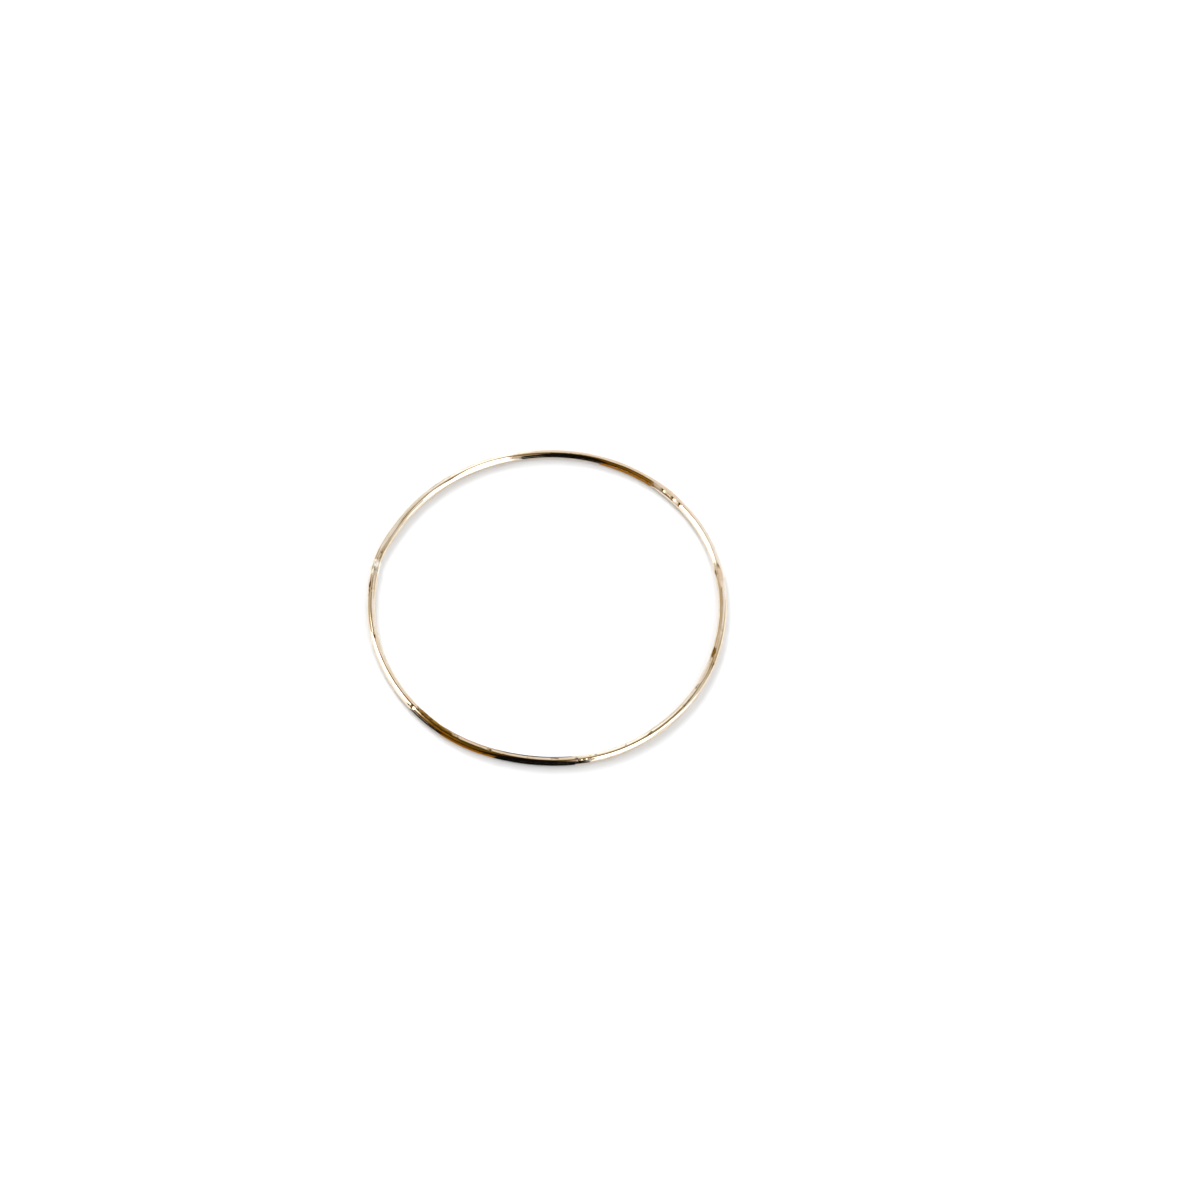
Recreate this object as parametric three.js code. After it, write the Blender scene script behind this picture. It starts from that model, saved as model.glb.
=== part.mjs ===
// A thin stackable finger ring. It is one length of round gold wire, rounded by hand, soldered
// shut, and planished with a few light hammer blows while it lay on a flat steel block.
// Millimetres, +Z up along the finger. The ring lies on its side, as it does on a table.
import * as THREE from 'three';
import { LoftGeometry } from 'three/addons/geometries/LoftGeometry.js';

// Driving dimensions
const INSIDE_DIAMETER = 16.1; // a US size 5 1/2
const WIRE_DIAMETER = 0.4; // 26 gauge wire
const REST_FLAT_WIDTH = 0.12; // the narrow flat that the block leaves along the underside
const SOLDER_PROUD = 0.026; // how far the filed solder stands off the wire
const SOLDER_LENGTH = 0.85; // how far the solder ran along the wire

// Angles round the ring are in degrees, anticlockwise from +X, seen from above.
const SOLDER_AT = 171;

// Where the hand-rounded wire strays from a true circle: the middle and half the length of each
// bow, and how far it stands out, as a share of the wire's diameter. A minus sign bows inwards.
const BOWS = [
  { at: 52, half: 54, out: 0.26 },
  { at: 122, half: 45, out: -0.13 },
  { at: 167, half: 15, out: 0.2 },
  { at: 182, half: 40, out: 0.09 },
  { at: 265, half: 28, out: -0.19 },
  { at: 300, half: 22, out: 0.09 },
  { at: 352, half: 34, out: -0.15 },
];

// The flats that the hammer leaves. `faces` is the way a flat looks, in degrees round the wire
// from the finger's side, so 90 looks up and 180 looks out. `long` and `deep` are shares of the
// wire's diameter.
const FLATS = [
  { at: 14.3, faces: 90, long: 3.4, deep: 0.09 },
  { at: 32, faces: 66, long: 10, deep: 0.05 },
  { at: 50.5, faces: 106, long: 5.2, deep: 0.06 },
  { at: 71, faces: 104, long: 3.6, deep: 0.03 },
  { at: 115, faces: 57, long: 9.6, deep: 0.06 },
  { at: 139, faces: 61, long: 7.5, deep: 0.035 },
  { at: 157, faces: 97, long: 5.6, deep: 0.05 },
  { at: 199, faces: 84, long: 3.4, deep: 0.03 },
  { at: 248, faces: 108, long: 3.8, deep: 0.02 },
  { at: 311.5, faces: 160, long: 3.4, deep: 0.085 },
  { at: 338.5, faces: 92, long: 4.4, deep: 0.03 },
];

// How finely the loft is cut
const STATIONS = 200;
const SIDES = 16;

const WIRE_RADIUS = WIRE_DIAMETER / 2;
const MID_RADIUS = (INSIDE_DIAMETER + WIRE_DIAMETER) / 2;
const MID_HEIGHT = Math.sqrt(WIRE_RADIUS ** 2 - (REST_FLAT_WIDTH / 2) ** 2);
const FLAT_HALF_ANGLE = Math.asin(REST_FLAT_WIDTH / WIRE_DIAMETER);
const UP = new THREE.Vector3(0, 0, 1);

// The shorter way round from one angle to another, in degrees
function turnBetween(from, to) {
  return THREE.MathUtils.euclideanModulo(to - from + 180, 360) - 180;
}

// A raised cosine: 1 in the middle of a bow, 0 from its ends onwards
function bowShare(degrees, bow) {
  const along = Math.abs(turnBetween(bow.at, degrees)) / bow.half;
  return along < 1 ? (1 + Math.cos(Math.PI * along)) / 2 : 0;
}

// The line through the middle of the wire
class HandRoundedLoop extends THREE.Curve {
  getPoint(share, target = new THREE.Vector3()) {
    const angle = (share % 1) * 2 * Math.PI;
    const degrees = THREE.MathUtils.radToDeg(angle);
    const stray = BOWS.reduce((sum, bow) => sum + bow.out * bowShare(degrees, bow), 0);
    const radius = MID_RADIUS + WIRE_DIAMETER * stray;
    return target.set(radius * Math.cos(angle), radius * Math.sin(angle), MID_HEIGHT);
  }
}

// How deep a flat is at this place along the wire: deepest at its middle, nothing at its ends
function flatDepth(degrees, flat) {
  const distance = MID_RADIUS * THREE.MathUtils.degToRad(turnBetween(flat.at, degrees));
  const along = distance / ((WIRE_DIAMETER * flat.long) / 2);
  return WIRE_DIAMETER * flat.deep * Math.max(0, 1 - along ** 2);
}

// How far the solder swells the wire: a smooth bump over its length
function solderSwell(degrees) {
  const distance = MID_RADIUS * THREE.MathUtils.degToRad(turnBetween(SOLDER_AT, degrees));
  const along = Math.min(1, Math.abs(distance) / (SOLDER_LENGTH / 2));
  return (SOLDER_PROUD * (1 + Math.cos(Math.PI * along))) / 2;
}

// The angles of the section's corners: the two ends of the underside flat, and even steps
// between them round the rest of the wire, from the finger's side over the top to the outside
function cornerAngles() {
  const down = (3 * Math.PI) / 2;
  const step = (2 * Math.PI - 2 * FLAT_HALF_ANGLE) / (SIDES - 1);
  return Array.from({ length: SIDES }, (_, k) => down + FLAT_HALF_ANGLE + k * step);
}

// One corner of the section, across (towards the finger) and up from the middle of the wire.
// Each flat cuts the round wire back to a straight line and pushes its metal out to both sides.
function sectionCorner(corner, degrees) {
  const point = new THREE.Vector2(Math.cos(corner), Math.sin(corner));
  const underside = Math.sin(corner) < -Math.cos(FLAT_HALF_ANGLE) + 1e-9;
  const swell = underside ? 0 : solderSwell(degrees);
  point.multiplyScalar(WIRE_RADIUS + swell);
  for (const flat of FLATS) {
    const depth = flatDepth(degrees, flat);
    if (depth === 0) continue;
    const faces = THREE.MathUtils.degToRad(flat.faces);
    const normal = new THREE.Vector2(Math.cos(faces), Math.sin(faces));
    const beyond = point.dot(normal) - (WIRE_RADIUS - depth);
    if (beyond > 0) point.addScaledVector(normal, -beyond);
    point.x *= 1 + depth / WIRE_DIAMETER;
  }
  return point;
}

// The closed loft of wire sections along the loop
function bandGeometry() {
  const loop = new HandRoundedLoop();
  const corners = cornerAngles();
  const sections = [];
  for (let i = 0; i <= STATIONS; i++) {
    const share = (i % STATIONS) / STATIONS;
    const middle = loop.getPoint(share);
    const along = loop.getTangent(share);
    const inwards = new THREE.Vector3().crossVectors(UP, along.setZ(0).normalize());
    sections.push(
      corners.map((corner) => {
        const point = sectionCorner(corner, share * 360);
        return middle.clone().addScaledVector(inwards, point.x).addScaledVector(UP, point.y);
      }),
    );
  }
  return new LoftGeometry(sections);
}

function makeBand() {
  const gold = new THREE.MeshStandardMaterial({ color: 0xd9b57a, roughness: 0.16, metalness: 1 });
  const band = new THREE.Mesh(bandGeometry(), gold);
  band.name = 'band';
  // The loop isn't quite round, so it is set with the middle of its outline over the origin.
  band.geometry.computeBoundingBox();
  const middle = band.geometry.boundingBox.getCenter(new THREE.Vector3());
  band.position.set(-middle.x, -middle.y, 0);
  return band;
}

const ring = new THREE.Group();
ring.add(makeBand());

export default ring;
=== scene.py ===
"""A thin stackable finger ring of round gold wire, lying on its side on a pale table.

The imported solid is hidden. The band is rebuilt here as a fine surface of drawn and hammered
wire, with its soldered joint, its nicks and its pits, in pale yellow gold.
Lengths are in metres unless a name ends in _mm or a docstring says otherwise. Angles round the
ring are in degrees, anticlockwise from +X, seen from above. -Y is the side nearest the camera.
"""

from __future__ import annotations

import logging
import math
from dataclasses import dataclass
from enum import Enum
from typing import Any

import bpy
import numpy as np
from mathutils import Matrix, Vector

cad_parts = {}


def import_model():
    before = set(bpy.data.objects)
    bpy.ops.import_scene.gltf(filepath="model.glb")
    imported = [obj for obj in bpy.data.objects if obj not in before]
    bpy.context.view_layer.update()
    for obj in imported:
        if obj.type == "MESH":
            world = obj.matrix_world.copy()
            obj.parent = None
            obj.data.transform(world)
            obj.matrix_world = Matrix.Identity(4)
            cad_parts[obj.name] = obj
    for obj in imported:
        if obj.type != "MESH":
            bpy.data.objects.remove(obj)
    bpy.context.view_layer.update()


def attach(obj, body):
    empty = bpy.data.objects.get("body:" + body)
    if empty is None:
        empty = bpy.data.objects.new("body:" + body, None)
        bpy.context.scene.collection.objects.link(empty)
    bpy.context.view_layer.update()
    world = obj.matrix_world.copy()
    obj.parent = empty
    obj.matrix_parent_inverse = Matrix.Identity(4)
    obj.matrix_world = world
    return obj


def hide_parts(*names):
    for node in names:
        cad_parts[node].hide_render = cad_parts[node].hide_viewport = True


LOG = logging.getLogger("ring")
MM = 0.001
MICRON = 0.000001


# Shader nodes as Python expressions


class Value:
    """A node's output socket that takes part in Python arithmetic."""

    def __init__(self, nodes: "Nodes", source: bpy.types.NodeSocket) -> None:
        """Wraps an output socket of a node tree."""
        self.nodes = nodes
        self.source = source

    def _math(self, operation: str, other: Any) -> "Value":
        """Adds one Math node of this value and another, or a number."""
        return self.nodes.add("ShaderNodeMath", {"operation": operation}, {0: self, 1: other})

    def __add__(self, other: Any) -> "Value":
        """This value plus another."""
        return self._math("ADD", other)

    def __sub__(self, other: Any) -> "Value":
        """This value less another."""
        return self._math("SUBTRACT", other)

    def __mul__(self, other: Any) -> "Value":
        """This value times another."""
        return self._math("MULTIPLY", other)

    __rmul__ = __mul__

    def step(self, low: float, high: float) -> "Value":
        """0 below low, 1 above high, and a smooth rise between.

        Args:
            low: where the rise starts.
            high: where it ends.

        Returns:
            The stepped value.
        """
        settings = {"interpolation_type": "SMOOTHSTEP"}
        values = {"Value": self, "From Min": low, "From Max": high}
        return self.nodes.add("ShaderNodeMapRange", settings, values)


class Nodes:
    """One material's node tree, and the ways to add to it."""

    def __init__(self, name: str) -> None:
        """Makes an empty node material.

        Args:
            name: the material's name.
        """
        self.material = bpy.data.materials.new(name)
        self.material.use_nodes = True
        self.tree = self.material.node_tree
        self.tree.nodes.clear()

    def add(self, kind: str, settings: dict[str, Any], values: dict[Any, Any],
            output: int | str = 0) -> Value:
        """Adds one node.

        Args:
            kind: the node's type, such as ShaderNodeMath.
            settings: its properties, which are set before its sockets.
            values: a number, tuple or Value for each input, by its name or index.
            output: the output socket that is wanted.

        Returns:
            The node's output, ready for arithmetic.
        """
        node = self.tree.nodes.new(kind)
        for key, setting in settings.items():
            setattr(node, key, setting)
        for key, value in values.items():
            if isinstance(value, Value):
                self.tree.links.new(value.source, node.inputs[key])
            else:
                node.inputs[key].default_value = value
        return Value(self, node.outputs[output])

    def blend(self, share: Value, first: Any, second: Any) -> Value:
        """Mixes two colours.

        Args:
            share: 0 for the first colour, 1 for the second.
            first: an RGBA tuple or a Value.
            second: an RGBA tuple or a Value.

        Returns:
            The mixed colour.
        """
        settings = {"data_type": "RGBA"}
        values = {"Factor": share, 6: first, 7: second}
        return self.add("ShaderNodeMix", settings, values, output=2)

    def attribute(self, name: str, output: str = "Fac") -> Value:
        """Reads one of the piece's own attributes."""
        return self.add("ShaderNodeAttribute", {"attribute_name": name}, {}, output)

    def finish(self, shader: Value) -> bpy.types.Material:
        """Adds the output node behind the surface shader.

        Args:
            shader: the surface shader.

        Returns:
            The finished material.
        """
        node = self.tree.nodes.new("ShaderNodeOutputMaterial")
        self.tree.links.new(shader.source, node.inputs["Surface"])
        return self.material


# Meshes from numpy grids


class Seam(Enum):
    """Which ways a grid of points closes on itself."""

    OPEN = (False, False)
    RING = (True, True)


def grid_object(name: str, points: np.ndarray, seam: Seam) -> bpy.types.Object:
    """Makes a quad mesh of a grid of points.

    Corner (i, j) of each face joins (i, j), (i + 1, j), (i + 1, j + 1) and (i, j + 1), with the
    indices taken round again where the grid closes.

    Args:
        name: the object's name.
        points: an array of rows by columns by 3, in metres.
        seam: which ways the grid closes.

    Returns:
        The new object, linked to the scene.
    """
    rows, columns = points.shape[:2]
    wrap_rows, wrap_columns = seam.value
    i, j = np.meshgrid(
        np.arange(rows if wrap_rows else rows - 1),
        np.arange(columns if wrap_columns else columns - 1),
        indexing="ij",
    )
    next_i = (i + 1) % rows
    next_j = (j + 1) % columns
    quads = np.stack(
        [i * columns + j, next_i * columns + j, next_i * columns + next_j, i * columns + next_j],
        axis=-1,
    ).reshape(-1, 4)
    mesh = bpy.data.meshes.new(name)
    mesh.vertices.add(rows * columns)
    mesh.vertices.foreach_set("co", points.astype(np.float32).ravel())
    mesh.loops.add(quads.size)
    mesh.loops.foreach_set("vertex_index", quads.astype(np.int32).ravel())
    mesh.polygons.add(len(quads))
    mesh.polygons.foreach_set("loop_start", np.arange(0, quads.size, 4, dtype=np.int32))
    mesh.polygons.foreach_set("use_smooth", np.ones(len(quads), dtype=bool))
    mesh.update(calc_edges=True)
    mesh.validate()
    made = bpy.data.objects.new(name, mesh)
    bpy.context.scene.collection.objects.link(made)
    return made


def turn_between(start_deg: float, to_deg: np.ndarray) -> np.ndarray:
    """The shorter way round from one angle to others: their difference, wrapped to -180 to 180."""
    return (to_deg - start_deg + 180.0) % 360.0 - 180.0


def hump(share: np.ndarray) -> np.ndarray:
    """A raised cosine: half of one plus cos(pi x), for x from -1 to 1, and 0 beyond."""
    return (1.0 + np.cos(np.pi * np.clip(np.abs(share), 0.0, 1.0))) / 2.0


# The band of wire


@dataclass(frozen=True)
class Bow:
    """A stretch where the hand-rounded wire strays from a true circle.

    `out` is how far it stands out, as a share of the wire's diameter.
    """

    at: float
    half: float
    out: float


@dataclass(frozen=True)
class Flat:
    """A flat that a hammer leaves.

    `faces` is the way it looks, in degrees round the wire from the finger's side, so 90 looks up
    and 180 looks out. `long` and `deep` are shares of the wire's diameter.
    """

    at: float
    faces: float
    long: float
    deep: float


@dataclass(frozen=True)
class Dent:
    """A small round dent or pit: its place in degrees round the ring and round the wire, and its
    width and depth in microns. One of negative depth is a bead that stands proud."""

    at: float
    faces: float
    wide: float
    deep: float


@dataclass(frozen=True)
class Ridge:
    """Ridges along the wire: how many stand round it, their height in microns, how far and how
    often they drift round it on the way along, and where that drift starts."""

    count: int
    high: float
    drift: float
    turns: float
    phase: float


BOWS = (
    Bow(at=52, half=54, out=0.26),
    Bow(at=122, half=45, out=-0.13),
    Bow(at=167, half=15, out=0.2),
    Bow(at=182, half=40, out=0.09),
    Bow(at=265, half=28, out=-0.19),
    Bow(at=300, half=22, out=0.09),
    Bow(at=352, half=34, out=-0.15),
)

FLATS = (
    Flat(at=14.3, faces=90, long=3.4, deep=0.09),
    Flat(at=32, faces=66, long=10, deep=0.05),
    Flat(at=50.5, faces=106, long=5.2, deep=0.06),
    Flat(at=71, faces=104, long=3.6, deep=0.03),
    Flat(at=115, faces=57, long=9.6, deep=0.06),
    Flat(at=139, faces=61, long=7.5, deep=0.035),
    Flat(at=157, faces=97, long=5.6, deep=0.05),
    Flat(at=199, faces=84, long=3.4, deep=0.03),
    Flat(at=248, faces=108, long=3.8, deep=0.02),
    Flat(at=311.5, faces=160, long=3.4, deep=0.085),
    Flat(at=338.5, faces=92, long=4.4, deep=0.03),
)

RIDGES = (
    Ridge(count=5, high=1.3, drift=1.2, turns=2.3, phase=0.4),
    Ridge(count=8, high=1.0, drift=1.7, turns=1.6, phase=2.1),
    Ridge(count=11, high=0.8, drift=2.1, turns=3.1, phase=4.4),
    Ridge(count=14, high=0.5, drift=1.4, turns=4.3, phase=1.3),
)

NICKS = (
    Dent(at=51.8, faces=74, wide=330, deep=14),
    Dent(at=47.2, faces=74, wide=370, deep=16),
    Dent(at=43.9, faces=72, wide=340, deep=14),
    Dent(at=225.2, faces=112, wide=330, deep=11),
    Dent(at=284.5, faces=118, wide=120, deep=6),
    Dent(at=282.9, faces=122, wide=110, deep=6),
    Dent(at=286.0, faces=116, wide=130, deep=5),
    Dent(at=168.9, faces=126, wide=300, deep=-35),
)

PITS = (
    Dent(at=254.7, faces=84, wide=190, deep=26),
    Dent(at=251.3, faces=100, wide=120, deep=12),
    Dent(at=282.5, faces=92, wide=120, deep=16),
    Dent(at=274.7, faces=80, wide=110, deep=14),
    Dent(at=266.9, faces=82, wide=90, deep=10),
    Dent(at=288.9, faces=82, wide=100, deep=12),
    Dent(at=299.1, faces=78, wide=100, deep=12),
    Dent(at=308.5, faces=84, wide=130, deep=12),
    Dent(at=325.2, faces=96, wide=90, deep=8),
    Dent(at=237.6, faces=88, wide=110, deep=12),
    Dent(at=228.8, faces=92, wide=90, deep=10),
)


@dataclass(frozen=True)
class Patch:
    """A patch of another finish: its middle, how far it reaches along and round the wire in
    degrees of each, and how strong it is."""

    at: float
    faces: float
    half: float
    spread: float
    strong: float


# Patches of darker, browner colour. Some are real stains, such as the thin line at the joint; the
# others are painted shade and painted dark reflection, such as the shaded side of the bump at 165.2
# and the golden-brown stretch near 235.
STAINS_AND_SHADE = (
    Patch(at=345.0, faces=72, half=3.0, spread=44, strong=1.0),
    Patch(at=340.5, faces=128, half=2.2, spread=26, strong=0.5),
    Patch(at=165.2, faces=62, half=4.4, spread=34, strong=0.34),
    Patch(at=171.0, faces=110, half=0.5, spread=90, strong=0.25),
    Patch(at=15.4, faces=42, half=3.8, spread=44, strong=0.45),
    Patch(at=331.0, faces=70, half=3.0, spread=24, strong=0.35),
    Patch(at=254.2, faces=78, half=1.6, spread=26, strong=0.5),
    Patch(at=275.7, faces=80, half=2.4, spread=22, strong=0.4),
    Patch(at=308.0, faces=86, half=1.8, spread=24, strong=0.5),
    Patch(at=178.3, faces=128, half=5.5, spread=30, strong=0.55),
    Patch(at=196.2, faces=96, half=3.5, spread=22, strong=0.5),
    Patch(at=134.3, faces=124, half=5.0, spread=26, strong=0.3),
    Patch(at=235.5, faces=80, half=12.0, spread=60, strong=1.0),
    Patch(at=230.0, faces=62, half=6.0, spread=50, strong=0.7),
)

SCUFFS = (
    Patch(at=53.5, faces=70, half=5.0, spread=110, strong=1.0),
    Patch(at=46.5, faces=70, half=5.0, spread=110, strong=0.8),
    Patch(at=173.2, faces=90, half=2.2, spread=120, strong=0.7),
    Patch(at=169.3, faces=112, half=2.4, spread=100, strong=0.4),
    Patch(at=13.0, faces=100, half=4.5, spread=90, strong=0.4),
)


@dataclass
class WireBand:
    """The closed loop of wire, which is the whole ring.

    The solder's paler finish reaches `solder_spread` of its length to each side of the joint.
    From `dark_pit_depth` down a pit is darkest, and from `bright_nick_depth` down a nick shines.
    The dings' widths and depths are in microns, and they face between two angles round the wire.
    """

    inside_diameter: float = 16.1 * MM
    wire_diameter: float = 0.4 * MM
    rest_flat_width: float = 0.12 * MM
    solder_at: float = 171.0
    solder_proud: float = 0.026 * MM
    solder_length: float = 0.85 * MM
    solder_spread: float = 0.8
    stations: int = 1360
    corners: int = 72
    outline_points: int = 2881
    flat_softness: float = 0.004 * MM
    dark_pit_depth: float = 8.0 * MICRON
    bright_nick_depth: float = 9.0 * MICRON
    ridge_fade: float = 0.35
    ridge_fade_rate: float = 1.7
    dings: int = 170
    ding_faces: tuple[float, float] = (10.0, 210.0)
    ding_widths: tuple[float, float] = (110.0, 380.0)
    ding_depths: tuple[float, float] = (0.6, 3.2)
    seed: int = 11

    @property
    def mid_radius(self) -> float:
        """The radius of the line through the middle of the wire."""
        return (self.inside_diameter + self.wire_diameter) / 2

    @property
    def mid_height(self) -> float:
        """How high the middle of the wire is over the table."""
        return math.sqrt((self.wire_diameter / 2) ** 2 - (self.rest_flat_width / 2) ** 2)

    def loop(self, degrees: np.ndarray) -> np.ndarray:
        """The line through the middle of the wire.

        At each angle its radius is the true circle's plus the sum of the bows there, each a
        raised cosine of its own length and height.

        Args:
            degrees: angles round the ring.

        Returns:
            Points, one row for each angle.
        """
        stray = sum(bow.out * hump(turn_between(bow.at, degrees) / bow.half) for bow in BOWS)
        radius = self.mid_radius + self.wire_diameter * stray
        angle = np.radians(degrees)
        height = np.full_like(angle, self.mid_height)
        return np.stack([radius * np.cos(angle), radius * np.sin(angle), height], axis=-1)

    def box_middle(self) -> np.ndarray:
        """The middle of the loop's outline seen from above, which is moved over the origin.

        Returns:
            The point, level with the table.
        """
        points = self.loop(np.linspace(0.0, 360.0, self.outline_points))
        middle = (points.min(axis=0) + points.max(axis=0)) / 2
        middle[2] = 0.0
        return middle

    def along(self, degrees: np.ndarray, at: float) -> np.ndarray:
        """Distances along the wire from a place on it."""
        return self.mid_radius * np.radians(turn_between(at, degrees))

    def pressed_flats(self, across: np.ndarray, up: np.ndarray,
                      degrees: np.ndarray) -> tuple[np.ndarray, np.ndarray]:
        """Cuts the hammer flats into the section.

        What stands beyond a flat's line is pushed back to it, softly at the edges, and the
        metal moves out to both sides. The line lies deepest at the middle of the flat and
        rises to the surface at its ends as one less the square of the distance.

        Args:
            across: how far each point lies towards the finger from the wire's middle.
            up: how far it lies above the wire's middle.
            degrees: the angle round the ring of each point.

        Returns:
            The new distances across and up.
        """
        radius = self.wire_diameter / 2
        softness = self.flat_softness
        for flat in FLATS:
            share = self.along(degrees, flat.at) / (self.wire_diameter * flat.long / 2)
            depth = self.wire_diameter * flat.deep * np.clip(1.0 - share**2, 0.0, None)
            face = math.radians(flat.faces)
            beyond = across * math.cos(face) + up * math.sin(face) - (radius - depth)
            push = (beyond + np.sqrt(beyond**2 + softness**2)) / 2 - softness / 2
            push = np.where(depth > 0.0, np.clip(push, 0.0, None), 0.0)
            across = (across - push * math.cos(face)) * (1.0 + depth / self.wire_diameter)
            up = up - push * math.sin(face)
        return across, up

    def dent_depth(self, dents: tuple[Dent, ...], degrees: np.ndarray,
                   corner: np.ndarray) -> np.ndarray:
        """How far round dents push the surface in.

        Each is a raised cosine of the distance over the surface from its middle, where that
        distance joins the ways along and round the wire by Pythagoras.

        Args:
            dents: the dents.
            degrees: the angle round the ring of each point.
            corner: the angle round the wire of each point, in degrees.

        Returns:
            Depths in metres.
        """
        total = np.zeros_like(degrees)
        for dent in dents:
            beside = self.wire_diameter / 2 * np.radians(turn_between(dent.faces, corner))
            distance = np.hypot(self.along(degrees, dent.at), beside)
            total += dent.deep * MICRON * hump(distance / (dent.wide * MICRON / 2))
        return total

    @staticmethod
    def patch_strength(patches: tuple[Patch, ...], degrees: np.ndarray,
                       corner: np.ndarray) -> np.ndarray:
        """How strongly patches of another finish cover the surface, from 0 to 1.

        Each patch is a raised cosine along the wire times one round it.

        Args:
            patches: the patches.
            degrees: the angle round the ring of each point.
            corner: the angle round the wire of each point, in degrees.

        Returns:
            The strengths.
        """
        total = np.zeros_like(degrees)
        for patch in patches:
            along = hump(turn_between(patch.at, degrees) / patch.half)
            beside = hump(turn_between(patch.faces, corner) / patch.spread)
            total += patch.strong * along * beside
        return np.clip(total, 0.0, 1.0)

    def small_dings(self) -> tuple[Dent, ...]:
        """Shallow dings from wear, strewn over the top and the sides.

        Returns:
            The dings, the same ones every time.
        """
        chance = np.random.default_rng(self.seed)
        at = chance.uniform(0.0, 360.0, self.dings)
        faces = chance.uniform(*self.ding_faces, self.dings)
        wide = chance.uniform(*self.ding_widths, self.dings)
        deep = chance.uniform(*self.ding_depths, self.dings)
        return tuple(Dent(*row) for row in zip(at, faces, wide, deep))

    def drawn_ridges(self, degrees: np.ndarray, corner: np.ndarray) -> np.ndarray:
        """The shallow ridges that a worn drawing die leaves along the wire.

        They are a sum of cosines round the wire, each of which drifts and fades slowly along
        it. The way along starts at the joint, so they don't meet there.

        Args:
            degrees: the angle round the ring of each point.
            corner: the angle round the wire of each point, in degrees.

        Returns:
            Heights in metres.
        """
        along = np.radians((degrees - self.solder_at) % 360.0)
        around = np.radians(corner)
        total = np.zeros_like(degrees)
        for ridge in RIDGES:
            drift = ridge.drift * np.sin(ridge.turns * along + ridge.phase)
            wave = np.cos(self.ridge_fade_rate * ridge.turns * along + 2.0 * ridge.phase)
            fade = 1.0 - self.ridge_fade + self.ridge_fade * wave
            total += ridge.high * MICRON * fade * np.cos(ridge.count * around + drift)
        return total

    def solder_swell(self, degrees: np.ndarray) -> np.ndarray:
        """How far the solder stands proud: a raised cosine over its length."""
        distance = self.along(degrees, self.solder_at)
        return self.solder_proud * hump(distance / (self.solder_length / 2))

    def surface(self) -> tuple[np.ndarray, np.ndarray, np.ndarray]:
        """The wire's surface over a grid of two angles.

        A point is the loop's middle, plus the section's distance across along the level normal
        that points to the finger, plus its distance up along +Z. The section is a circle with
        the solder's swell and the die's ridges, pressed by the flats, less the dents, and cut
        level with the table.

        Returns:
            The points, and the two angles of each in degrees: round the ring and round the wire.
        """
        ring_angles = np.arange(self.stations) * 360.0 / self.stations
        wire_angles = -90.0 + np.arange(self.corners) * 360.0 / self.corners
        degrees, corner = np.meshgrid(ring_angles, wire_angles, indexing="ij")
        depth = self.dent_depth(NICKS + PITS + self.small_dings(), degrees, corner)
        reach = self.wire_diameter / 2 + self.solder_swell(degrees)
        reach = reach + self.drawn_ridges(degrees, corner)
        across = reach * np.cos(np.radians(corner))
        up = reach * np.sin(np.radians(corner))
        across, up = self.pressed_flats(across, up, degrees)
        across = across - depth * np.cos(np.radians(corner))
        up = np.maximum(up - depth * np.sin(np.radians(corner)), -self.mid_height)
        middle = self.loop(ring_angles)
        step = np.roll(middle, -1, axis=0) - np.roll(middle, 1, axis=0)
        step /= np.linalg.norm(step, axis=1, keepdims=True)
        inwards = np.stack([-step[:, 1], step[:, 0], np.zeros(self.stations)], axis=-1)
        points = middle[:, None, :] + across[..., None] * inwards[:, None, :]
        points[..., 2] += up
        return points - self.box_middle(), degrees, corner

    def build(self) -> bpy.types.Object:
        """Makes the band, with the attributes that its finish reads.

        `wire_round` points the way that the surface faces in the section, and `ring_round` the
        way from the ring's middle, so that a pattern on them closes on itself. `pit` is 1 at
        the bottom of a pit, `solder` at the middle of the joint, and the stain-and-shade
        attribute and `scuff` where those patches are strongest. The stain-and-shade patches are
        real stains together with painted shade and painted dark reflections. A nick cuts
        through a scuff, so it shines there.

        Returns:
            The band's object.
        """
        points, degrees, corner = self.surface()
        band = grid_object("band_gold", points, Seam.RING)
        zero = np.zeros_like(corner)
        turned = np.radians(corner)
        self._store(band, "wire_round", np.stack([np.cos(turned), np.sin(turned), zero], -1))
        around = np.radians(degrees)
        self._store(band, "ring_round", np.stack([np.cos(around), np.sin(around), zero], -1))
        pit = self.dent_depth(PITS, degrees, corner) / self.dark_pit_depth
        from_joint = self.along(degrees, self.solder_at)
        self._store(band, "pit", np.clip(pit, 0.0, 1.0))
        self._store(band, "solder", hump(from_joint / (self.solder_spread * self.solder_length)))
        self._store(band, "stain_and_shade", self.patch_strength(STAINS_AND_SHADE, degrees, corner))
        nicked = self.dent_depth(NICKS, degrees, corner) / self.bright_nick_depth
        scuff = self.patch_strength(SCUFFS, degrees, corner) * (1.0 - np.clip(nicked, 0.0, 1.0))
        self._store(band, "scuff", scuff)
        return band

    @staticmethod
    def _store(piece: bpy.types.Object, name: str, values: np.ndarray) -> None:
        """Writes one attribute to a piece's vertices.

        Args:
            piece: the piece.
            name: the attribute's name.
            values: a grid of numbers, or of vectors, in the order of the vertices.
        """
        vector = values.ndim == 3
        kind, field = ("FLOAT_VECTOR", "vector") if vector else ("FLOAT", "value")
        layer = piece.data.attributes.new(name, kind, "POINT")
        layer.data.foreach_set(field, values.astype(np.float32).ravel())


@dataclass(frozen=True)
class Grain:
    """How fast a noise changes round and along the wire, and how many finer layers it has."""

    round_scale: float
    along_scale: float
    detail: float


NOISE_MIDDLE = 0.5


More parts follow.
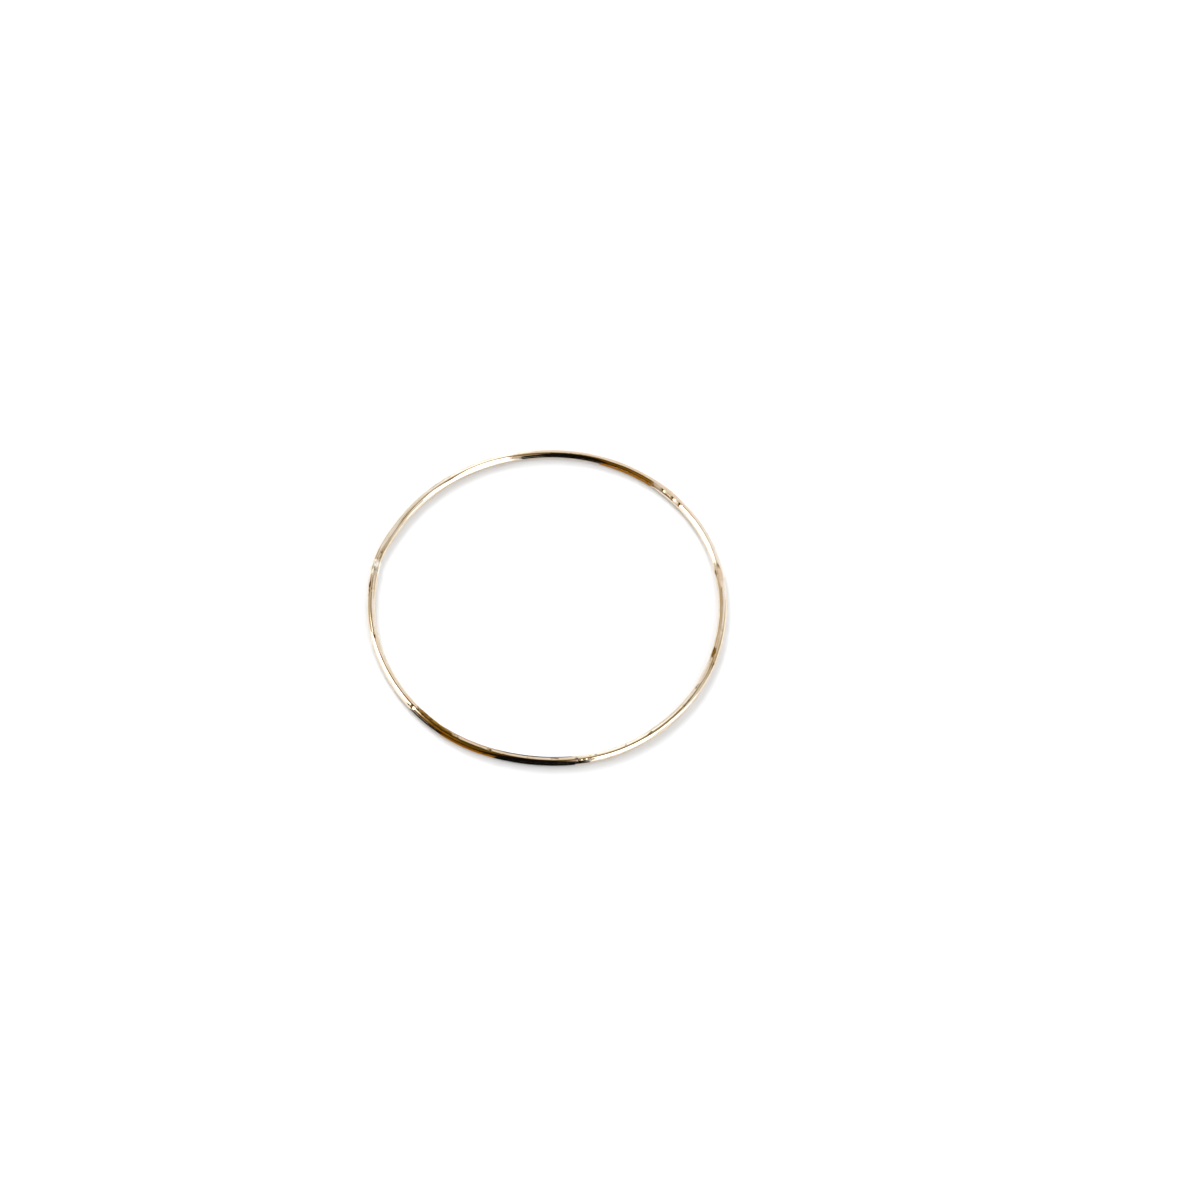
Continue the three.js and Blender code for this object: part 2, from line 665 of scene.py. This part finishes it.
@dataclass(frozen=True)
class PaleGold:
    """Polished pale yellow gold on drawn wire.

    Fine lines run along the wire from the die that it was drawn through, so it mirrors sharply
    along its length and softly round its section. Broad patches are warmer or browner with
    age, the solder is paler, and pits are dark. The listed patches of stain and painted shade
    are dark brown: some are real stains, and some are painted shade and painted dark
    reflections, such as the shaded side of a bump. The edges are the values between which a
    pattern rises from nothing to the whole of its share.
    """

    colour: tuple[float, float, float, float] = (0.89, 0.76, 0.61, 1.0)
    warm: tuple[float, float, float, float] = (0.82, 0.64, 0.42, 1.0)
    aged: tuple[float, float, float, float] = (0.58, 0.47, 0.27, 1.0)
    stained_and_shaded: tuple[float, float, float, float] = (0.34, 0.19, 0.025, 1.0)
    dirt: tuple[float, float, float, float] = (0.1, 0.045, 0.015, 1.0)
    solder: tuple[float, float, float, float] = (0.99, 0.95, 0.86, 1.0)
    roughness: float = 0.055
    worn_roughness: float = 0.13
    scuffed_roughness: float = 0.42
    drawn_softness: float = 0.3
    drawn_turn: float = 0.25
    line_depth: float = 0.35 * MICRON
    line_grain: Grain = Grain(26.0, 5.0, 5.0)
    band_grain: Grain = Grain(5.0, 2.0, 2.0)
    patch_grain: Grain = Grain(0.7, 14.0, 3.0)
    mottle_grain: Grain = Grain(4.0, 60.0, 3.0)
    warm_edges: tuple[float, float] = (0.45, 0.75)
    warm_share: float = 0.7
    aged_edges: tuple[float, float] = (0.5, 0.68)
    aged_share: float = 0.5
    solder_edges: tuple[float, float] = (0.25, 0.7)
    solder_share: float = 0.8
    solder_ragged: float = 0.7
    stain_and_shade_edges: tuple[float, float] = (0.12, 0.6)
    speck_edges: tuple[float, float] = (0.48, 0.6)
    dirt_share: float = 0.9
    worn_edges: tuple[float, float] = (0.4, 0.75)
    stain_and_shade_roughness: float = 0.12
    pitted_roughness: float = 0.3
    soldered_roughness: float = 0.06

    def material(self) -> bpy.types.Material:
        """Builds the node material.

        Returns:
            The material.
        """
        nodes = Nodes("pale_gold")
        wire = nodes.attribute("wire_round", "Vector")
        ring = nodes.attribute("ring_round", "Vector")
        lines = self._stretched(nodes, wire, ring, self.line_grain)
        bands = self._stretched(nodes, wire, ring, self.band_grain)
        patches = self._stretched(nodes, wire, ring, self.patch_grain)
        mottle = self._stretched(nodes, wire, ring, self.mottle_grain)
        pit = nodes.attribute("pit")
        ragged = patches * self.solder_ragged - self.solder_ragged * NOISE_MIDDLE
        solder = (nodes.attribute("solder") + ragged).step(*self.solder_edges)
        scuff = nodes.attribute("scuff")
        # The mask of real stains and of painted shade and painted dark reflections, broken up by
        # mottle.
        stain_and_shade = (nodes.attribute("stain_and_shade") + mottle - NOISE_MIDDLE).step(*self.stain_and_shade_edges)
        warmth = patches.step(*self.warm_edges) * self.warm_share
        colour = nodes.blend(warmth, self.colour, self.warm)
        colour = nodes.blend(bands.step(*self.aged_edges) * self.aged_share, colour, self.aged)
        colour = nodes.blend(solder * self.solder_share, colour, self.solder)
        # Darkens the colour where real stains are and where shade and dark reflections are painted
        # in.
        colour = nodes.blend(stain_and_shade, colour, self.stained_and_shaded)
        specks = stain_and_shade * mottle.step(*self.speck_edges) * self.dirt_share
        colour = nodes.blend(pit * self.dirt_share + specks, colour, self.dirt)
        wear = (self.worn_roughness - self.roughness) * patches.step(*self.worn_edges)
        rough = wear + self.roughness + scuff * self.scuffed_roughness
        rough = rough + stain_and_shade * self.stain_and_shade_roughness + pit * self.pitted_roughness
        rough = rough + solder * self.soldered_roughness
        height = nodes.add(
            "ShaderNodeBump", {}, {"Strength": 1.0, "Distance": self.line_depth, "Height": lines}
        )
        shader = nodes.add(
            "ShaderNodeBsdfPrincipled",
            {},
            {
                "Base Color": colour,
                "Metallic": 1.0,
                "Roughness": rough,
                "Anisotropic": self.drawn_softness,
                "Anisotropic Rotation": self.drawn_turn,
                "Normal": height,
            },
        )
        return nodes.finish(shader)

    @staticmethod
    def _stretched(nodes: Nodes, wire: Value, ring: Value, grain: Grain) -> Value:
        """Noise on the wire's own surface, which closes on itself both ways.

        Args:
            nodes: the material's nodes.
            wire: the direction round the wire.
            ring: the direction round the ring.
            grain: how fine it is each way.

        Returns:
            The noise, about 0.5 in the middle.
        """
        split = nodes.add("ShaderNodeSeparateXYZ", {}, {0: ring}, "X")
        other = Value(nodes, split.source.node.outputs["Y"])
        section = nodes.add(
            "ShaderNodeVectorMath", {"operation": "SCALE"}, {0: wire, "Scale": grain.round_scale}
        )
        lift = nodes.add("ShaderNodeCombineXYZ", {}, {"Z": split * grain.along_scale})
        place = nodes.add("ShaderNodeVectorMath", {"operation": "ADD"}, {0: section, 1: lift})
        return nodes.add(
            "ShaderNodeTexNoise",
            {"noise_dimensions": "4D"},
            {
                "Vector": place,
                "W": other * grain.along_scale,
                "Scale": 1.0,
                "Detail": grain.detail,
            },
        )


# The studio


@dataclass(frozen=True)
class Card:
    """A glowing card that stands round the table, as a patch of a sphere.

    Its corners are azimuth and elevation in degrees: low start, low end, high end, high start.
    `distance` is from the ring's middle. Where two cards overlap, the nearer one shows.
    """

    name: str
    corners: tuple[tuple[float, float], ...]
    glow: tuple[float, float, float]
    strength: float = 1.0
    distance: float = 0.5


COOL = (0.88, 1.0, 1.15)
WHITE = (1.0, 1.0, 1.0)

CARDS = (
    Card("right_window", ((-68, 0), (-22, 0), (-26, 64), (-61, 62)), WHITE, 3.0, 0.44),
    Card("right_window_edge", ((-70, 0), (-68, 0), (-64, 48), (-69, 46)), (0.43, 0.48, 0.55)),
    Card("right_front_wall", ((-76, 60), (-58, 60), (-44, 80), (-76, 80)), (0.24, 0.15, 0.06)),
    Card("right_front_panel", ((-76, 46), (-60, 46), (-58, 60), (-76, 60)), (0.62, 0.52, 0.45)),
    Card("right_wall", ((-22, 0), (-6, 0), (-6, 60), (-26, 63)), COOL, 1.7, 0.48),
    Card("right_corner", ((-6, 0), (3, 0), (3, 68), (-6, 68)), (0.82, 0.83, 0.84)),
    Card("right_cupboard", ((3, 0), (17, 0), (36, 56), (3, 44)), (0.5, 0.47, 0.37)),
    Card("right_door", ((17, 0), (28, 0), (44, 56), (36, 56)), (0.68, 0.62, 0.52)),
    Card("back_right_wall", ((28, 0), (66, 0), (66, 52), (44, 56)), (0.95, 1.02, 1.14)),
    Card("back_wall", ((66, 0), (96, 0), (96, 58), (66, 52)), (0.92, 0.87, 0.84)),
    Card("back_strip", ((96, 0), (112, 0), (111, 51), (96, 51)), COOL, 1.5),
    Card("back_left_wall", ((112, 0), (136, 0), (128, 46), (110, 60)), (0.88, 0.91, 0.98)),
    Card("left_shade", ((128, 44), (155, 44), (128, 60), (110, 60)), (0.62, 0.57, 0.48)),
    Card("left_cupboard", ((136, 0), (176, 0), (170, 48), (128, 44)), (0.6, 0.51, 0.37)),
    Card("left_window_low", ((201, 0), (167, 0), (164, 26), (200, 26)), COOL, 1.2, 0.45),
    Card("left_window", ((199, 22), (167, 20), (155, 48), (192, 57)), WHITE, 3.0, 0.44),
    Card("left_window_top", ((190, 47), (146, 46), (132, 58), (186, 63)), WHITE, 2.4, 0.43),
    Card("left_window_head", ((206, 50), (166, 54), (166, 73), (208, 60)), (0.36, 0.28, 0.05)),
    Card("left_curtain", ((208, 0), (199, 0), (188, 56), (204, 52)), (0.75, 0.5, 0.16)),
    Card("wood_screen", ((226, 0), (205, 0), (200, 60), (226, 78)), (0.3, 0.14, 0.008)),
    Card("dark_floor", ((243, 0), (203, 0), (201, 26), (243, 34)), (0.02, 0.009, 0.003), 1.0, 0.48),
    Card("dark_screen", ((243, 0), (226, 0), (226, 78), (243, 78)), (0.18, 0.08, 0.002)),
    Card("back_ceiling", ((2, 44), (112, 49), (112, 68), (0, 64)), (0.77, 0.73, 0.68), 1.0, 0.52),
    Card("pale_beam", ((74, 56), (98, 56), (98, 78), (80, 78)), (0.86, 0.78, 0.7), 1.0, 0.47),
    Card("wood_ceiling", ((98, 57), (236, 60), (236, 90), (98, 90)), (0.09, 0.058, 0.005), 1.0, 0.48),
    Card("front_ceiling", ((236, 76), (300, 76), (300, 90), (236, 90)), (0.05, 0.035, 0.015)),
    Card("right_ceiling", ((-60, 50), (84, 64), (98, 90), (-60, 90)), (0.21, 0.16, 0.025), 1.0, 0.49),
)


@dataclass(frozen=True)
class Flag:
    """A strip of black or brown cloth laid beside the wire, which only reflections see.

    It keeps the pale table out of the wire's lower half where the room in front is dark, as a
    photographer's black flag does. It starts at `gap` from the middle of the wire, and `side`
    is 1 outside the ring and -1 inside it.
    """

    name: str
    between: tuple[float, float]
    side: int
    gap: float = 0.36 * MM
    width: float = 30.0 * MM
    height: float = 0.01 * MM
    glow: tuple[float, float, float] = (0.006, 0.004, 0.003)


FLAGS = (
    Flag("front_flag", (238.0, 287.0), side=1),
    Flag("front_left_flag", (224.0, 238.0), side=1, gap=0.26 * MM),
    Flag("back_flag", (76.0, 102.0), side=-1),
    Flag("back_wood_flag", (57.0, 76.0), side=-1, gap=0.1 * MM, glow=(0.38, 0.17, 0.005)),
)


@dataclass
class Studio:
    """The table, the cards of light round it and the camera."""

    card_steps: int = 9
    flag_steps: tuple[int, int] = (36, 3)
    table_steps: tuple[int, int] = (4, 49)
    backdrop_steps: tuple[int, int] = (97, 3)
    table_reach: float = 0.9
    table_colour: tuple[float, float, float, float] = (0.86, 0.88, 0.91, 1.0)
    table_roughness: float = 0.8
    dim_world: float = 0.004
    backdrop_reach: float = 0.42
    backdrop_glow: tuple[float, float, float] = (0.97, 0.97, 0.97)
    key_azimuth: float = 120.0
    key_elevation: float = 34.0
    key_distance: float = 0.36
    key_size: float = 0.2
    key_power: float = 0.84
    fill_height: float = 0.4
    fill_size: float = 0.4
    fill_power: float = 0.3
    camera_distance: float = 156.44 * MM
    camera_elevation: float = 61.14
    camera_roll: float = 3.53
    aim_right: float = 2.48 * MM
    aim_up: float = 0.16 * MM
    camera_range: tuple[float, float] = (5 * MM, 10.0)
    lens_mm: float = 100.0
    sensor_mm: float = 36.0

    def build(self, band: WireBand) -> None:
        """Makes everything round the ring.

        Args:
            band: the band, which the camera and the flags are set by.
        """
        self.make_camera(band)
        self.make_table()
        for card in CARDS:
            self.make_card(card)
        for flag in FLAGS:
            self.make_flag(flag, band)
        self.make_light("key", self.key_azimuth, self.key_elevation, self.key_distance,
                        self.key_size, self.key_power)
        self.make_light("fill", 0.0, 90.0, self.fill_height, self.fill_size, self.fill_power)
        self.make_backdrop()
        self.make_world()

    def make_camera(self, band: WireBand) -> None:
        """Sets the camera at the photograph's angle, with the ring where the photograph has it.

        The camera looks along +Y and down, turned a little about its own axis, and stands off
        to the side by the two aims, so that the ring isn't in the middle of the view.

        Args:
            band: the band, for the height that the camera looks at.
        """
        data = bpy.data.cameras.new("camera")
        data.lens = self.lens_mm
        data.sensor_width = self.sensor_mm
        data.clip_start, data.clip_end = self.camera_range
        tilt = math.radians(self.camera_elevation)
        back = Vector((0.0, -math.cos(tilt), math.sin(tilt)))
        turn = (-back).to_track_quat("-Z", "Y").to_matrix()
        turn = turn @ Matrix.Rotation(math.radians(self.camera_roll), 3, "Z")
        camera = bpy.data.objects.new("camera", data)
        place = Vector((0.0, 0.0, band.mid_height)) + back * self.camera_distance
        place += turn @ Vector((self.aim_right, self.aim_up, 0.0))
        camera.matrix_world = Matrix.Translation(place) @ turn.to_4x4()
        bpy.context.scene.collection.objects.link(camera)
        bpy.context.scene.camera = camera

    def make_table(self) -> None:
        """Lays the pale table under the ring.

        It is a level disc: a point at each radius and angle, by their cosine and sine.
        """
        radii = np.linspace(0.0, self.table_reach, self.table_steps[0])
        angles = np.linspace(0.0, 2 * np.pi, self.table_steps[1])
        radius, angle = np.meshgrid(radii, angles, indexing="ij")
        flat = np.zeros_like(radius)
        points = np.stack([radius * np.cos(angle), radius * np.sin(angle), flat], axis=-1)
        table = grid_object("table", points, Seam.OPEN)
        nodes = Nodes("table_white")
        shader = nodes.add(
            "ShaderNodeBsdfPrincipled",
            {},
            {
                "Base Color": self.table_colour,
                "Roughness": self.table_roughness,
                "Specular IOR Level": 0.0,
            },
        )
        table.data.materials.append(nodes.finish(shader))

    def make_card(self, card: Card) -> None:
        """Makes one card: the sphere's points over azimuth and elevation, lit on its face.

        Inside the card, both angles are the mean of its four corners' angles, weighted by the
        shares u and v of the way from its start to its end and from low to high.

        Args:
            card: the card.
        """
        shares = np.linspace(0.0, 1.0, self.card_steps)
        u, v = np.meshgrid(shares, shares, indexing="ij")
        weights = np.stack([(1 - u) * (1 - v), u * (1 - v), u * v, (1 - u) * v], axis=-1)
        angles = np.radians(weights @ np.array(card.corners, dtype=float))
        azimuth, elevation = angles[..., 0], angles[..., 1]
        points = card.distance * np.stack(
            [
                np.cos(azimuth) * np.cos(elevation),
                np.sin(azimuth) * np.cos(elevation),
                np.sin(elevation),
            ],
            axis=-1,
        )
        piece = grid_object("card_" + card.name, points, Seam.OPEN)
        self.light_up(piece, card.glow, card.strength)

    def make_flag(self, flag: Flag, band: WireBand) -> None:
        """Lays one flag on the table.

        Its points are the loop's, moved along the line from the ring's middle by a distance
        that grows from the flag's gap to its gap and width together.

        Args:
            flag: the flag.
            band: the band that it lies beside.
        """
        degrees = np.linspace(*flag.between, self.flag_steps[0])
        middle = band.loop(degrees) - band.box_middle()
        angle = np.radians(degrees)
        outwards = np.stack([np.cos(angle), np.sin(angle), np.zeros_like(angle)], axis=-1)
        shares = np.linspace(0.0, 1.0, self.flag_steps[1])
        reach = flag.side * (flag.gap + flag.width * shares)
        points = middle[:, None, :] + reach[None, :, None] * outwards[:, None, :]
        points[..., 2] = flag.height
        piece = grid_object(flag.name, points, Seam.OPEN)
        self.light_up(piece, flag.glow, 1.0)
        piece.visible_diffuse = False
        piece.visible_shadow = False

    @staticmethod
    def light_up(piece: bpy.types.Object, glow: tuple[float, float, float],
                 strength: float) -> None:
        """Gives a stage piece an even glow and hides it from the camera.

        Args:
            piece: the stage piece.
            glow: its colour.
            strength: what the colour is multiplied by.
        """
        nodes = Nodes("glow_" + piece.name)
        shader = nodes.add(
            "ShaderNodeEmission", {}, {"Color": (*glow, 1.0), "Strength": strength}
        )
        piece.data.materials.append(nodes.finish(shader))
        piece.visible_camera = False

    @staticmethod
    def make_light(name: str, azimuth_deg: float, elevation_deg: float, distance: float,
                   size: float, power: float) -> None:
        """Adds a soft round light that faces the ring.

        The key stands low at the back left and lays the ring's shadow, and the fill hangs over
        it. Both are left out of reflections, because the windows and walls stand there.

        Args:
            name: the light's name.
            azimuth_deg: its azimuth.
            elevation_deg: its elevation.
            distance: how far it stands from the ring's middle.
            size: its diameter.
            power: its power in watts.
        """
        data = bpy.data.lights.new(name, "AREA")
        data.shape = "DISK"
        data.size = size
        data.energy = power
        azimuth = math.radians(azimuth_deg)
        elevation = math.radians(elevation_deg)
        towards = Vector(
            (
                math.cos(azimuth) * math.cos(elevation),
                math.sin(azimuth) * math.cos(elevation),
                math.sin(elevation),
            )
        )
        light = bpy.data.objects.new(name, data)
        turn = towards.to_track_quat("Z", "Y").to_matrix().to_4x4()
        light.matrix_world = Matrix.Translation(towards * distance) @ turn
        light.visible_glossy = False
        light.visible_camera = False
        bpy.context.scene.collection.objects.link(light)

    def make_backdrop(self) -> None:
        """Closes low views with a pale drum that only the camera sees.

        It is a circle carried upwards: a point at each angle and height.
        """
        angles = np.linspace(0.0, 2 * np.pi, self.backdrop_steps[0])
        heights = np.linspace(0.0, 2 * self.backdrop_reach, self.backdrop_steps[1])
        angle, height = np.meshgrid(angles, heights, indexing="ij")
        points = np.stack(
            [self.backdrop_reach * np.cos(angle), self.backdrop_reach * np.sin(angle), height],
            axis=-1,
        )
        drum = grid_object("backdrop", points, Seam.OPEN)
        self.light_up(drum, self.backdrop_glow, 1.0)
        drum.visible_camera = True
        drum.visible_diffuse = False
        drum.visible_glossy = False
        drum.visible_shadow = False

    def make_world(self) -> None:
        """A nearly dark room behind the cards, and a plain view transform."""
        scene = bpy.context.scene
        world = bpy.data.worlds.new("room")
        world.use_nodes = True
        background = world.node_tree.nodes["Background"]
        background.inputs["Color"].default_value = (1.0, 1.0, 1.0, 1.0)
        background.inputs["Strength"].default_value = self.dim_world
        scene.world = world
        scene.view_settings.view_transform = "Standard"
        scene.view_settings.look = "None"


def main() -> None:
    """Builds the ring and its studio in order."""
    logging.basicConfig(level=logging.INFO, format="%(name)s: %(message)s")
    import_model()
    band = WireBand()
    Studio().build(band)
    piece = band.build()
    piece.data.materials.append(PaleGold().material())
    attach(piece, "root")
    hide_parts("band")
    LOG.info("%s has %d faces", piece.name, len(piece.data.polygons))


if __name__ == "__main__":
    main()
